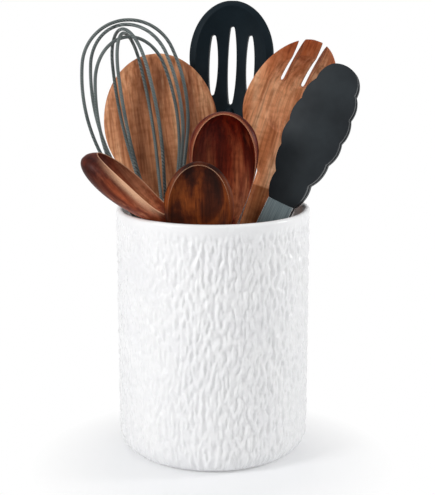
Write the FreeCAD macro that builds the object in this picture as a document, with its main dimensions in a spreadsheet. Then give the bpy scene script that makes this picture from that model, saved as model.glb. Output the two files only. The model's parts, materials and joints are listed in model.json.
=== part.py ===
import FreeCAD, Part
import math
import os
import Sketcher

Vector = FreeCAD.Vector

# Driving sizes, in millimetres and degrees
SIZES = {
    # Crock
    "crock_radius": 75.0,
    "crock_height": 193.0,
    "crock_wall": 4.8,
    "crock_floor": 8.0,
    "crock_corner": 16.0,
    "crock_inner_corner": 9.0,
    "crock_lip_round": 2.2,
    "crock_foot_wide": 5.0,
    "crock_foot_deep": 1.5,
    "crock_foot_round": 1.0,
    # Gap under each utensil, and the rounded lower end of each handle
    "seat_gap": 0.15,
    "foot_round": 3.0,
    # Whisk
    "whisk_roll": 0.0,
    "whisk_apex": 330.0,
    "whisk_top_radius": 36.0,
    "whisk_side_radius": 130.0,
    "whisk_flare_radius": 110.0,
    "whisk_shoulder_angle": 15.0,
    "whisk_first_angle": 8.0,
    "whisk_wire": 2.6,
    "whisk_wire_gap": 0.6,
    "whisk_ring_radius": 6.5,
    "whisk_collar_radius": 9.6,
    "whisk_collar_start": 106.0,
    "whisk_collar_end": 124.0,
    "whisk_bore_deep": 9.0,
    "whisk_grip_radius": 9.0,
    "whisk_tenon_radius": 7.0,
    "whisk_tenon_long": 6.0,
    "whisk_fit": 0.05,
    # Turner
    "turner_roll": 0.0,
    "turner_length": 301.0,
    "turner_head_long": 117.0,
    "turner_wide": 92.0,
    "turner_deep": 9.0,
    "turner_grip_wide": 11.5,
    "turner_grip_deep": 9.0,
    "turner_dip": 0.0,
    "turner_curl": 8.0,
    # Slotted spoon
    "slotted_roll": -12.0,
    "slotted_length": 342.0,
    "slotted_head_long": 112.0,
    "slotted_wide": 70.0,
    "slotted_deep": 13.0,
    "slotted_grip_wide": 15.0,
    "slotted_grip_deep": 15.0,
    "slotted_dip": 2.0,
    "slotted_curl": 0.0,
    "slotted_hollow_ahead": 20.0,
    "slotted_hollow_deep": 25.0,
    "slotted_hollow_wide": 86.0,
    "slotted_hollow_long": 128.0,
    "slotted_slot_wide": 7.6,
    "slotted_slot_long": 63.0,
    "slotted_side_slot_long": 49.0,
    "slotted_slot_pitch": 15.3,
    "slotted_tenon_radius": 5.0,
    "slotted_tenon_long": 16.0,
    "slotted_handle_radius": 6.5,
    "slotted_fit": 0.05,
    # Serving fork
    "fork_roll": 26.0,
    "fork_length": 325.0,
    "fork_head_long": 112.0,
    "fork_wide": 78.0,
    "fork_deep": 10.0,
    "fork_grip_wide": 16.5,
    "fork_grip_deep": 11.0,
    "fork_dip": 5.0,
    "fork_curl": -12.5,
    "fork_hollow_ahead": 34.0,
    "fork_hollow_deep": 39.0,
    "fork_hollow_wide": 130.0,
    "fork_hollow_long": 110.0,
    "fork_slot_wide": 5.2,
    "fork_slot_long": 35.0,
    "fork_slot_pitch": 20.0,
    "fork_slot_aside": -3.0,
    # Large spoon
    "large_spoon_roll": 0.0,
    "large_spoon_length": 261.5,
    "large_spoon_head_long": 96.0,
    "large_spoon_wide": 52.0,
    "large_spoon_deep": 21.0,
    "large_spoon_grip_wide": 11.5,
    "large_spoon_grip_deep": 11.0,
    "large_spoon_dip": 3.0,
    "large_spoon_curl": 0.0,
    "large_spoon_hollow_ahead": 10.0,
    "large_spoon_hollow_deep": 19.0,
    "large_spoon_hollow_wide": 54.0,
    "large_spoon_hollow_long": 88.0,
    # Small spoon
    "small_spoon_roll": 0.0,
    "small_spoon_length": 229.0,
    "small_spoon_head_long": 84.0,
    "small_spoon_wide": 51.0,
    "small_spoon_deep": 15.0,
    "small_spoon_grip_wide": 10.5,
    "small_spoon_grip_deep": 10.0,
    "small_spoon_dip": 2.0,
    "small_spoon_curl": 0.0,
    "small_spoon_hollow_ahead": 8.0,
    "small_spoon_hollow_deep": 13.5,
    "small_spoon_hollow_wide": 51.0,
    "small_spoon_hollow_long": 77.0,
    # Side spoon, propped between the far wall and the rim
    "side_spoon_roll": 84.0,
    "side_spoon_length": 203.0,
    "side_spoon_head_long": 90.0,
    "side_spoon_wide": 38.0,
    "side_spoon_deep": 31.5,
    "side_spoon_grip_wide": 11.0,
    "side_spoon_grip_deep": 10.5,
    "side_spoon_dip": 4.0,
    "side_spoon_curl": 22.0,
    "side_spoon_hollow_ahead": 12.0,
    "side_spoon_hollow_deep": 25.0,
    "side_spoon_hollow_wide": 38.0,
    "side_spoon_hollow_long": 83.0,
    # Tongs
    "tongs_roll": -13.0,
    "tongs_ajar": 1.4,
    "tongs_length": 327.0,
    "tongs_head_long": 120,
    "tongs_head_wide": 47.0,
    "tongs_head_base_wide": 20.0,
    "tongs_head_half_deep": 11.5,
    "tongs_head_dome_wide": 58.0,
    "tongs_head_dome_long": 180.0,
    "tongs_head_dome_start": 48.0,
    "tongs_head_cup_wide": 30.0,
    "tongs_head_cup_deep": 7.0,
    "tongs_head_cup_long": 76.0,
    "tongs_head_gap": 0.3,
    "tongs_lobe_bulge": 2.2,
    "tongs_front_wide": 21.0,
    "tongs_back_wide": 18.6,
    "tongs_sheet": 1.0,
    "tongs_half_deep": 8.0,
    "tongs_flange_edge": 2.0,
    "tongs_ear_reach": 4.0,
    "tongs_ear_high": 8.0,
    "tongs_ear_slope": 14.0,
    "tongs_arm_start": 16.0,
    "tongs_pin_high": 26.0,
    "tongs_pin_radius": 2.0,
    "tongs_pin_fit": 0.05,
    "tongs_pin_head_radius": 3.6,
    "tongs_pin_head_thick": 1.2,
    "tongs_pin_side_gap": 0.1,
    "tongs_tongue_wide": 16.0,
    "tongs_tongue_long": 30.0,
    "tongs_tongue_fit": 0.1,
    "tongs_tab_thick": 2.0,
    "tongs_tab_wide": 8.0,
    "tongs_tab_end": 42.0,
    "tongs_tab_eye_radius": 5.0,
    "tongs_tab_hole_radius": 3.0,
    "tongs_tab_travel": 8.0,
    "tongs_tab_fit": 0.1,
    "tongs_spring_thick": 0.8,
    "tongs_spring_wide": 5.0,
    "tongs_spring_aside": 4.5,
    "tongs_spring_leg": 30.0,
    "tongs_spring_spread": 6.2,
}

# Slack in finding an edge by its radius and height
EDGE_TOLERANCE = 1e-4

WHISK_LOOPS = 5
WHISK_BORES = 2 * WHISK_LOOPS

# Where each utensil stands on the floor, and where it passes the rim: shares of the
# crock's inside radius, to the right and to the back
FOOT_PLACE_SHARES = {
    "whisk": (-0.185, 0.145),
    "turner": (-0.157, 0.544),
    "slotted": (0.071, 0.487),
    "fork": (-0.322, 0.352),
    "large_spoon": (0.140, -0.392),
    "small_spoon": (-0.128, -0.815),
    "side_spoon": (0.712, -0.577),
    "tongs": (-0.476, -0.205),
}
RIM_PLACE_SHARES = {
    "whisk": (-0.648, 0.140),
    "turner": (-0.499, 0.724),
    "slotted": (0.154, 0.818),
    "fork": (0.527, 0.550),
    "large_spoon": (0.120, -0.420),
    "small_spoon": (-0.142, -0.859),
    "side_spoon": (-0.427, -0.613),
    "tongs": (0.752, 0.031),
}

# Height of the side spoon's foot, which rests on the wall, as a share of the crock's
SIDE_SPOON_FOOT_SHARE = 0.487

# Shares along a handle, from its foot to its neck, and its girth there
HANDLE_STATION_SHARES = (0.0, 0.5, 1.0)
HANDLE_GIRTH_SHARES = (1.0, 1.05, 1.0)

# Shares along a spoon head, from its neck to its tip
HEAD_STATION_SHARES = (0.0, 0.07, 0.15, 0.25, 0.36, 0.48, 0.60, 0.72, 0.82, 0.90, 0.955, 0.985, 0.998)
WIDEST_SHARES = {
    "turner": 0.513,
    "slotted": 0.6,
    "fork": 0.5,
    "large_spoon": 0.7,
    "small_spoon": 0.6,
    "side_spoon": 0.6,
}
HOLLOW_CENTRE_SHARE = 0.55
SLOT_CENTRE_SHARE = 0.535
SLOT_BARREL_SHARE = 0.85

# Powers that ease the swell from a neck, which is blunt on the turner, and towards a tip
NECK_EASE_SHARE = 1.25
BLUNT_EASE_SHARE = 0.7
TIP_EASE_SHARE = 0.92

# Shares along a tongs head where two lobes meet, and the widest place
LOBE_STATION_SHARES = (0.0, 0.17, 0.34, 0.50, 0.66, 0.81, 0.94)
LOBE_WIDEST_SHARE = 0.5
LOBE_NECK_SHARE = 1.7
LOBE_EASE_SHARE = 1.15
CUP_CENTRE_SHARE = 0.57

doc = FreeCAD.newDocument("utensil_crock")
sheet = doc.addObject("Spreadsheet::Sheet", "sizes")
for row, (alias, value) in enumerate(SIZES.items(), start=1):
    sheet.set("A%d" % row, alias)
    sheet.set("B%d" % row, str(value))
    sheet.setAlias("B%d" % row, alias)
doc.recompute()

finished = []


def size(alias):
    return float(sheet.get(alias))


def finish(thing, label, placement):
    thing.Label = label
    thing.Placement = placement
    finished.append(thing)


# Sketches and bodies
def new_body(name):
    return doc.addObject("PartDesign::Body", name)


def origin_plane(body, role):
    return next(f for f in body.Origin.OriginFeatures if f.Role == role)


def new_sketch(body, role, name, offset=None):
    sketch = body.newObject("Sketcher::SketchObject", name)
    sketch.AttachmentSupport = (origin_plane(body, role), [""])
    sketch.MapMode = "FlatFace"
    if offset:
        sketch.setExpression("AttachmentOffset.Base.z", offset)
    return sketch


def pin_down(sketch, edge, end, across, along):
    """Hold one point of a sketch at two formulas, None standing for an axis."""
    for kind, formula, axis in (("DistanceX", across, -2), ("DistanceY", along, -1)):
        if formula is None:
            sketch.addConstraint(Sketcher.Constraint("PointOnObject", edge, end, axis))
        else:
            number = sketch.addConstraint(Sketcher.Constraint(kind, -1, 1, edge, end, 1.0))
            sketch.setExpression("Constraints[%d]" % number, formula)


def draw_polygon(sketch, corners):
    """Draw a closed polygon whose corners are pairs of formulas."""
    count = len(corners)
    for number in range(count):
        start = 2 * math.pi * number / count
        end = 2 * math.pi * (number + 1) / count
        first = Vector(math.cos(start), math.sin(start), 0)
        second = Vector(math.cos(end), math.sin(end), 0)
        sketch.addGeometry(Part.LineSegment(first, second), False)
    for number in range(count):
        following = (number + 1) % count
        sketch.addConstraint(Sketcher.Constraint("Coincident", number, 2, following, 1))
    for number, (across, along) in enumerate(corners):
        pin_down(sketch, number, 1, across, along)


def draw_circle(sketch, across, along, radius):
    centre = Vector(0, 0, 0)
    edge = sketch.addGeometry(Part.Circle(centre, Vector(0, 0, 1), 1.0), False)
    number = sketch.addConstraint(Sketcher.Constraint("Radius", edge, 1.0))
    sketch.setExpression("Constraints[%d]" % number, radius)
    pin_down(sketch, edge, 3, across, along)


def pad(body, sketch, name, length, midplane=False):
    feature = body.newObject("PartDesign::Pad", name)
    feature.Profile = sketch
    feature.Midplane = midplane
    feature.setExpression("Length", length)
    return feature


def pocket(body, sketch, name, length=None, midplane=False, backward=False):
    """Cut a sketch out of a body, right through where no length is given."""
    feature = body.newObject("PartDesign::Pocket", name)
    feature.Profile = sketch
    feature.Midplane = midplane
    feature.Reversed = backward
    if length:
        feature.setExpression("Length", length)
    else:
        feature.Type = "ThroughAll"
    return feature


def circle_edges(shape, radius, height):
    """Names of the round edges of a shape at one radius and height."""
    names = []
    for number, edge in enumerate(shape.Edges, start=1):
        curve = edge.Curve
        if not isinstance(curve, Part.Circle):
            continue
        same_radius = math.isclose(curve.Radius, radius, abs_tol=EDGE_TOLERANCE)
        if same_radius and math.isclose(curve.Center.z, height, abs_tol=EDGE_TOLERANCE):
            names.append("Edge%d" % number)
    return names


def round_edges(body, before, name, edges, radius):
    feature = body.newObject("PartDesign::Fillet", name)
    feature.Base = (before, edges)
    feature.setExpression("Radius", radius)
    doc.recompute()
    return feature


# Places of the utensils
def lean(name, half_wide, rounding):
    """Stand a utensil on the floor of the crock, leaning through its rim point."""
    inside = size("crock_radius") - size("crock_wall")
    top = size("crock_height")
    low = top * SIDE_SPOON_FOOT_SHARE if name == "side_spoon" else size("crock_floor")
    foot = Vector(*FOOT_PLACE_SHARES[name]) * inside + Vector(0, 0, low)
    rim = Vector(*RIM_PLACE_SHARES[name]) * inside + Vector(0, 0, top)
    along = (rim - foot).normalize()
    if name != "side_spoon":
        flat = half_wide - rounding
        foot.z += size("seat_gap") + flat * math.hypot(along.x, along.y) + rounding * (1 - along.z)
    right = Vector(1, 0, 0) - along * along.x
    right.normalize()
    back = along.cross(right)
    standing = FreeCAD.Rotation(right, back, along, "ZXY")
    roll = FreeCAD.Rotation(Vector(0, 0, 1), size(name + "_roll"))
    print(name, "foot", [round(v, 2) for v in foot], "along", [round(v, 5) for v in along])
    return FreeCAD.Placement(foot, standing * roll)


def lean_wood(name):
    return lean(name, size(name + "_grip_wide") / 2, size("foot_round"))


# Lofted wooden and moulded shapes
def ellipse(name, across, along, back, high):
    """One level section of a loft: two half widths, its set-back and height."""
    section = doc.addObject("Part::Ellipse", name)
    section.setExpression("MajorRadius", across)
    section.setExpression("MinorRadius", along)
    section.setExpression("Placement.Base.y", back)
    section.setExpression("Placement.Base.z", high)
    return section


def loft(name, sections):
    shape = doc.addObject("Part::Loft", name)
    shape.Sections = sections
    shape.Solid = True
    shape.Ruled = False
    return shape


def cut(name, base, tool):
    shape = doc.addObject("Part::Cut", name)
    shape.Base = base
    shape.Tool = tool
    return shape


def fuse(name, base, tool):
    shape = doc.addObject("Part::Fuse", name)
    shape.Base = base
    shape.Tool = tool
    return shape


def ellipsoid(name, high, across, back):
    """An ellipsoid from the formulas of its three half sizes."""
    shape = doc.addObject("Part::Ellipsoid", name)
    shape.setExpression("Radius1", high)
    shape.setExpression("Radius2", across)
    shape.setExpression("Radius3", back)
    return shape


def swell_share(station, widest, ease=NECK_EASE_SHARE):
    """Growth from the neck, 0, to the full width, 1, and closing at the tip."""
    if station < widest:
        return math.sin(math.pi / 2 * station / widest) ** ease
    return math.sqrt(1 - ((station - widest) / (1 - widest)) ** 2)


def shaft(name, wide, deep, neck):
    """A handle that swells a little in the middle, its lower end rounded."""
    sections = []
    for station, girth in zip(HANDLE_STATION_SHARES, HANDLE_GIRTH_SHARES):
        label = "%s_shaft_%d" % (name, round(station * 100))
        high = "%s * %g" % (neck, station)
        sections.append(ellipse(label, "%s * %g" % (wide, girth), "%s * %g" % (deep, girth), "0", high))
    turned = loft(name + "_shaft", sections)
    doc.recompute()
    radius = size("foot_round")
    foot = [n for n, edge in enumerate(turned.Shape.Edges, start=1) if edge.BoundBox.ZMax < radius]
    rounded = doc.addObject("Part::Fillet", name + "_foot")
    rounded.Base = turned
    rounded.Edges = [(number, radius, radius) for number in foot]
    return rounded


def wood_shaft(name):
    """The handle of a utensil made from one piece of wood."""
    wide = "sizes.%s_grip_wide / 2" % name
    deep = "sizes.%s_grip_deep / 2" % name
    return shaft(name, wide, deep, "(sizes.{0}_length - sizes.{0}_head_long)".format(name))


def head_sections(name, ease=NECK_EASE_SHARE):
    """Sections of a head from its neck to its tip."""
    widest = WIDEST_SHARES[name]
    sections = []
    for share in HEAD_STATION_SHARES:
        swell = swell_share(share, widest, ease)
        if share < widest:
            rule = "(sizes.{0}_grip_{1} + (sizes.{0}_{1} - sizes.{0}_grip_{1}) * {2:.4f}) / 2"
            wide = rule.format(name, "wide", swell)
            deep = rule.format(name, "deep", swell)
        else:
            wide = "sizes.%s_wide / 2 * %.4f" % (name, swell)
            deep = "sizes.%s_deep / 2 * %.4f" % (name, swell ** TIP_EASE_SHARE)
        dip = math.sin(math.pi * share)
        bend = share ** 2
        back = "sizes.{0}_dip * {1:.4f} + sizes.{0}_curl * {2:.4f}".format(name, dip, bend)
        high = "sizes.{0}_length - sizes.{0}_head_long * {1:.4f}".format(name, 1 - share)
        sections.append(ellipse("%s_head_%d" % (name, round(share * 1000)), wide, deep, back, high))
    return sections


def hollow(name):
    """The round hollow that makes a head a bowl or a shallow dish."""
    shape = ellipsoid(
        name + "_hollow",
        "sizes.%s_hollow_long / 2" % name,
        "sizes.%s_hollow_wide / 2" % name,
        "sizes.%s_hollow_deep" % name,
    )
    slope = 2 * HOLLOW_CENTRE_SHARE * size(name + "_curl") / size(name + "_head_long")
    shape.Placement.Rotation = FreeCAD.Rotation(Vector(1, 0, 0), -math.degrees(math.atan(slope)))
    back = "sizes.{0}_curl * {1:.4f} - sizes.{0}_hollow_ahead".format(name, HOLLOW_CENTRE_SHARE ** 2)
    shape.setExpression("Placement.Base.y", back)
    high = "sizes.{0}_length - sizes.{0}_head_long * {1:.4f}".format(name, 1 - HOLLOW_CENTRE_SHARE)
    shape.setExpression("Placement.Base.z", high)
    return shape


# Crock
def make_crock():
    body = new_body("crock")
    sketch = new_sketch(body, "XZ_Plane", "crock_profile")
    inside = "sizes.crock_radius - sizes.crock_wall"
    ring = "sizes.crock_radius - sizes.crock_corner - sizes.crock_foot_wide"
    draw_polygon(sketch, [
        (None, "sizes.crock_foot_deep"),
        (ring, "sizes.crock_foot_deep"),
        (ring, None),
        ("sizes.crock_radius", None),
        ("sizes.crock_radius", "sizes.crock_height"),
        (inside, "sizes.crock_height"),
        (inside, "sizes.crock_floor"),
        (None, "sizes.crock_floor"),
    ])
    turned = body.newObject("PartDesign::Revolution", "crock_turned")
    turned.Profile = sketch
    turned.ReferenceAxis = (sketch, ["V_Axis"])
    turned.Angle = 360.0
    doc.recompute()
    outer = size("crock_radius")
    inner = outer - size("crock_wall")
    top = size("crock_height")
    corner = circle_edges(turned.Shape, outer, 0)
    rounded = round_edges(body, turned, "crock_base_round", corner, "sizes.crock_corner")
    bottom = circle_edges(rounded.Shape, inner, size("crock_floor"))
    rounded = round_edges(body, rounded, "crock_floor_round", bottom, "sizes.crock_inner_corner")
    lip = circle_edges(rounded.Shape, outer, top) + circle_edges(rounded.Shape, inner, top)
    rounded = round_edges(body, rounded, "crock_lip", lip, "sizes.crock_lip_round")
    foot = outer - size("crock_corner") - size("crock_foot_wide")
    ring_edge = circle_edges(rounded.Shape, foot, 0)
    round_edges(body, rounded, "crock_foot_edge", ring_edge, "sizes.crock_foot_round")
    finish(body, "crock", FreeCAD.Placement())


# Wooden utensils
def make_spoon(name):
    bowl = cut(name + "_bowl", loft(name + "_head", head_sections(name)), hollow(name))
    return fuse(name + "_carved", bowl, wood_shaft(name))


def make_plain_spoon(name):
    finish(make_spoon(name), name, lean_wood(name))


def make_turner():
    blade = loft("turner_blade", head_sections("turner", BLUNT_EASE_SHARE))
    finish(fuse("turner", blade, wood_shaft("turner")), "turner", lean_wood("turner"))


def slot_bar(name, across, low, long):
    """The straight stretch of a slot, right through from front to back."""
    bar = doc.addObject("Part::Box", name + "_slot_bar")
    bar.setExpression("Length", "sizes.%s_slot_wide" % name)
    bar.setExpression("Width", "sizes.%s_wide" % name)
    bar.setExpression("Height", long)
    bar.setExpression("Placement.Base.x", "%s - sizes.%s_slot_wide / 2" % (across, name))
    bar.setExpression("Placement.Base.y", "-sizes.%s_wide / 2" % name)
    bar.setExpression("Placement.Base.z", low)
    return bar


def slot_end(name, across, high, radius):
    """The round end of a slot, right through from front to back."""
    end = doc.addObject("Part::Cylinder", name + "_slot_end")
    end.setExpression("Radius", radius)
    end.setExpression("Height", "sizes.%s_wide" % name)
    end.Placement.Rotation = FreeCAD.Rotation(Vector(1, 0, 0), 90.0)
    end.setExpression("Placement.Base.x", across)
    end.setExpression("Placement.Base.y", "sizes.%s_wide / 2" % name)
    end.setExpression("Placement.Base.z", high)
    return end


def fork_slot(side):
    """One straight slot with a round lower end, open at the tip."""
    across = "sizes.fork_slot_aside + sizes.fork_slot_pitch / 2 * %d" % side
    bottom = "sizes.fork_length - sizes.fork_slot_long"
    bar = slot_bar("fork", across, bottom, "sizes.fork_slot_long * 2")
    return fuse("fork_slot", bar, slot_end("fork", across, bottom, "sizes.fork_slot_wide / 2"))


def make_fork():
    shape = make_spoon("fork")
    for side in (-1, 1):
        shape = cut("fork_tines", shape, fork_slot(side))
    finish(shape, "fork", lean_wood("fork"))


# Slotted spoon
def spoon_slot(step):
    """One slot whose sides belly a little between two round ends."""
    half = "sizes.slotted_slot_long / 2" if step == 0 else "sizes.slotted_side_slot_long / 2"
    across = "sizes.slotted_slot_pitch * %d" % step
    middle = "sizes.slotted_length - sizes.slotted_head_long * %g" % (1 - SLOT_CENTRE_SHARE)
    narrow = "sizes.slotted_slot_wide / 2 * %.4f" % math.sqrt(1 - SLOT_BARREL_SHARE ** 2)
    straight = "(%s - %s)" % (half, narrow)
    belly = ellipsoid("slotted_belly", "%s / %g" % (straight, SLOT_BARREL_SHARE),
                      "sizes.slotted_slot_wide / 2", "sizes.slotted_wide")
    belly.setExpression("Placement.Base.x", across)
    belly.setExpression("Placement.Base.z", middle)
    sides = doc.addObject("Part::Common", "slotted_sides")
    sides.Base = belly
    sides.Tool = slot_bar("slotted", across, "%s - %s" % (middle, straight), "2 * " + straight)
    lower = slot_end("slotted", across, "%s - %s" % (middle, straight), narrow)
    upper = slot_end("slotted", across, "%s + %s" % (middle, straight), narrow)
    return fuse("slotted_slot", fuse("slotted_slot_half", sides, lower), upper)


def make_slotted_spoon():
    place = lean("slotted", size("slotted_handle_radius"), size("foot_round"))
    moulded = loft("slotted_moulded", head_sections("slotted"))
    shape = cut("slotted_dished", moulded, hollow("slotted"))
    for step in (-1, 0, 1):
        shape = cut("slotted_open", shape, spoon_slot(step))
    socket = doc.addObject("Part::Cylinder", "slotted_socket")
    socket.setExpression("Radius", "sizes.slotted_tenon_radius + sizes.slotted_fit")
    socket.setExpression("Height", "sizes.slotted_tenon_long + sizes.slotted_fit")
    socket.setExpression("Placement.Base.z", "sizes.slotted_length - sizes.slotted_head_long")
    finish(cut("slotted_head", shape, socket), "slotted_head", place)
    make_slotted_handle(place)


def make_slotted_handle(place):
    neck = "(sizes.slotted_length - sizes.slotted_head_long)"
    radius = "sizes.slotted_handle_radius"
    tenon = doc.addObject("Part::Cylinder", "slotted_tenon")
    tenon.setExpression("Radius", "sizes.slotted_tenon_radius")
    tenon.setExpression("Height", "sizes.slotted_tenon_long")
    tenon.setExpression("Placement.Base.z", neck)
    finish(fuse("slotted_handle", shaft("slotted", radius, radius, neck), tenon), "slotted_handle", place)


# Whisk
def whisk_spine(number):
    """Middle line of one loop: socket, flare, leg, side and top, then mirrored."""
    ring = size("whisk_ring_radius")
    start = size("whisk_collar_end")
    flare = size("whisk_flare_radius")
    side = size("whisk_side_radius")
    top = size("whisk_top_radius")
    shoulder = math.radians(size("whisk_shoulder_angle"))
    apex = size("whisk_apex") - number * (size("whisk_wire") + size("whisk_wire_gap"))
    turn = math.radians(size("whisk_first_angle") - 180.0 / WHISK_LOOPS * number)

    def at(out, high):
        return Vector(out * math.cos(turn), out * math.sin(turn), high)

    flare_out = ring + flare
    side_out = (top - side) * math.cos(shoulder)
    side_high = apex - top + (top - side) * math.sin(shoulder)
    gap_out = side_out - flare_out
    gap_high = side_high - start
    apart = math.hypot(gap_out, gap_high)
    slope = math.acos(-(side + flare) / apart) - math.atan2(gap_high, gap_out)

    def flare_at(angle):
        return flare_out - flare * math.cos(angle), start + flare * math.sin(angle)

    def side_at(angle):
        return side_out + side * math.cos(angle), side_high + side * math.sin(angle)

    halves = []
    for way in (1, -1):
        def bent(point):
            return at(way * point[0], point[1])
        halves.append([
            Part.LineSegment(at(way * ring, start - size("whisk_bore_deep")), at(way * ring, start)),
            Part.Arc(bent(flare_at(0)), bent(flare_at(slope / 2)), bent(flare_at(slope))),
            Part.LineSegment(bent(flare_at(slope)), bent(side_at(-slope))),
            Part.Arc(bent(side_at(-slope)), bent(side_at((shoulder - slope) / 2)), bent(side_at(shoulder))),
        ])
    shoulder_out, shoulder_high = side_at(shoulder)
    crown = Part.Arc(at(shoulder_out, shoulder_high), at(0, apex), at(-shoulder_out, shoulder_high))
    pieces = halves[0] + [crown] + list(reversed(halves[1]))
    return Part.Wire([piece.toShape() for piece in pieces]), at(ring, start - size("whisk_bore_deep"))


def make_whisk_wire(number, place):
    path, start = whisk_spine(number)
    spine = doc.addObject("Part::Feature", "whisk_spine_%d" % (number + 1))
    spine.Shape = path
    ring = doc.addObject("Part::Circle", "whisk_round_%d" % (number + 1))
    ring.setExpression("Radius", "sizes.whisk_wire / 2")
    ring.Placement.Base = start
    wire = doc.addObject("Part::Sweep", "whisk_loop_%d" % (number + 1))
    wire.Sections = [ring]
    wire.Spine = (spine, ["Edge%d" % (edge + 1) for edge in range(len(path.Edges))])
    wire.Solid = True
    wire.Frenet = False
    finish(wire, "whisk_wire_%d" % (number + 1), place)


def make_whisk_collar(place):
    body = new_body("whisk_collar")
    disc = new_sketch(body, "XY_Plane", "whisk_collar_disc", "sizes.whisk_collar_start")
    draw_circle(disc, None, None, "sizes.whisk_collar_radius")
    pad(body, disc, "whisk_collar_pad", "sizes.whisk_collar_end - sizes.whisk_collar_start")
    cup = new_sketch(body, "XY_Plane", "whisk_collar_cup", "sizes.whisk_collar_start")
    draw_circle(cup, None, None, "sizes.whisk_tenon_radius + sizes.whisk_fit")
    pocket(body, cup, "whisk_collar_socket", "sizes.whisk_tenon_long + sizes.whisk_fit", backward=True)
    bore = new_sketch(body, "XY_Plane", "whisk_collar_bore", "sizes.whisk_collar_end")
    draw_circle(bore, "sizes.whisk_ring_radius * cos(sizes.whisk_first_angle * 1 deg)",
                "sizes.whisk_ring_radius * sin(sizes.whisk_first_angle * 1 deg)",
                "sizes.whisk_wire / 2 + sizes.whisk_fit")
    hole = pocket(body, bore, "whisk_collar_hole", "sizes.whisk_bore_deep + sizes.whisk_fit")
    doc.recompute()
    round_about = body.newObject("PartDesign::PolarPattern", "whisk_collar_bores")
    round_about.Originals = [hole]
    round_about.Axis = (bore, ["N_Axis"])
    round_about.Angle = 360.0
    round_about.Occurrences = WHISK_BORES
    body.Tip = round_about
    finish(body, "whisk_collar", place)


def make_whisk_handle(place):
    grip = "sizes.whisk_grip_radius"
    top = "sizes.whisk_collar_start"
    tenon = doc.addObject("Part::Cylinder", "whisk_tenon")
    tenon.setExpression("Radius", "sizes.whisk_tenon_radius")
    tenon.setExpression("Height", "sizes.whisk_tenon_long")
    tenon.setExpression("Placement.Base.z", top)
    finish(fuse("whisk_handle", shaft("whisk", grip, grip, top), tenon), "whisk_handle", place)


def make_whisk():
    place = lean("whisk", size("whisk_grip_radius"), size("foot_round"))
    make_whisk_handle(place)
    make_whisk_collar(place)
    for number in range(WHISK_LOOPS):
        make_whisk_wire(number, place)


# Tongs
def make_tongs_arm(name, wide, place):
    """A steel channel: a flat web, two flanges with ears, and a tongue for the head."""
    body = new_body(name)
    half = "sizes.%s / 2" % wide
    base = "sizes.tongs_length - sizes.tongs_head_long"
    shoulder = base + " - sizes.tongs_tongue_fit"
    tip = base + " + sizes.tongs_tongue_long"
    web = new_sketch(body, "XZ_Plane", name + "_web", "sizes.tongs_half_deep - sizes.tongs_sheet")
    draw_polygon(web, [
        ("-" + half, "sizes.tongs_arm_start"),
        (half, "sizes.tongs_arm_start"),
        (half, shoulder),
        ("sizes.tongs_tongue_wide / 2", shoulder),
        ("sizes.tongs_tongue_wide / 2", tip),
        ("-sizes.tongs_tongue_wide / 2", tip),
        ("-sizes.tongs_tongue_wide / 2", shoulder),
        ("-" + half, shoulder),
    ])
    pad(body, web, name + "_web_pad", "sizes.tongs_sheet")
    flange = new_sketch(body, "YZ_Plane", name + "_flange", half + " - sizes.tongs_sheet")
    ear_top = "sizes.tongs_pin_high + sizes.tongs_ear_high"
    draw_polygon(flange, [
        ("-sizes.tongs_half_deep", "sizes.tongs_arm_start"),
        ("sizes.tongs_ear_reach", "sizes.tongs_arm_start"),
        ("sizes.tongs_ear_reach", ear_top),
        ("-sizes.tongs_flange_edge", ear_top + " + sizes.tongs_ear_slope"),
        ("-sizes.tongs_flange_edge", shoulder),
        ("-sizes.tongs_half_deep", shoulder),
    ])
    side = pad(body, flange, name + "_flange_pad", "sizes.tongs_sheet")
    doc.recompute()
    mirrored = body.newObject("PartDesign::Mirrored", name + "_flanges")
    mirrored.Originals = [side]
    mirrored.MirrorPlane = (origin_plane(body, "YZ_Plane"), [""])
    body.Tip = mirrored
    doc.recompute()
    hole = new_sketch(body, "YZ_Plane", name + "_hole")
    draw_circle(hole, None, "sizes.tongs_pin_high", "sizes.tongs_pin_radius + sizes.tongs_pin_fit")
    pocket(body, hole, name + "_pin_hole", midplane=True)
    finish(body, name, place)


def make_tongs_pin(place):
    body = new_body("tongs_pin")
    shank = new_sketch(body, "YZ_Plane", "tongs_pin_shank")
    draw_circle(shank, None, "sizes.tongs_pin_high", "sizes.tongs_pin_radius")
    pad(body, shank, "tongs_pin_body", "sizes.tongs_front_wide + 2 * sizes.tongs_pin_side_gap", midplane=True)
    side = "sizes.tongs_front_wide / 2 + sizes.tongs_pin_side_gap"
    head = new_sketch(body, "YZ_Plane", "tongs_pin_head", side)
    draw_circle(head, None, "sizes.tongs_pin_high", "sizes.tongs_pin_head_radius")
    button = pad(body, head, "tongs_pin_button", "sizes.tongs_pin_head_thick")
    doc.recompute()
    mirrored = body.newObject("PartDesign::Mirrored", "tongs_pin_buttons")
    mirrored.Originals = [button]
    mirrored.MirrorPlane = (origin_plane(body, "YZ_Plane"), [""])
    body.Tip = mirrored
    finish(body, "tongs_pin", place)


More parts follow.
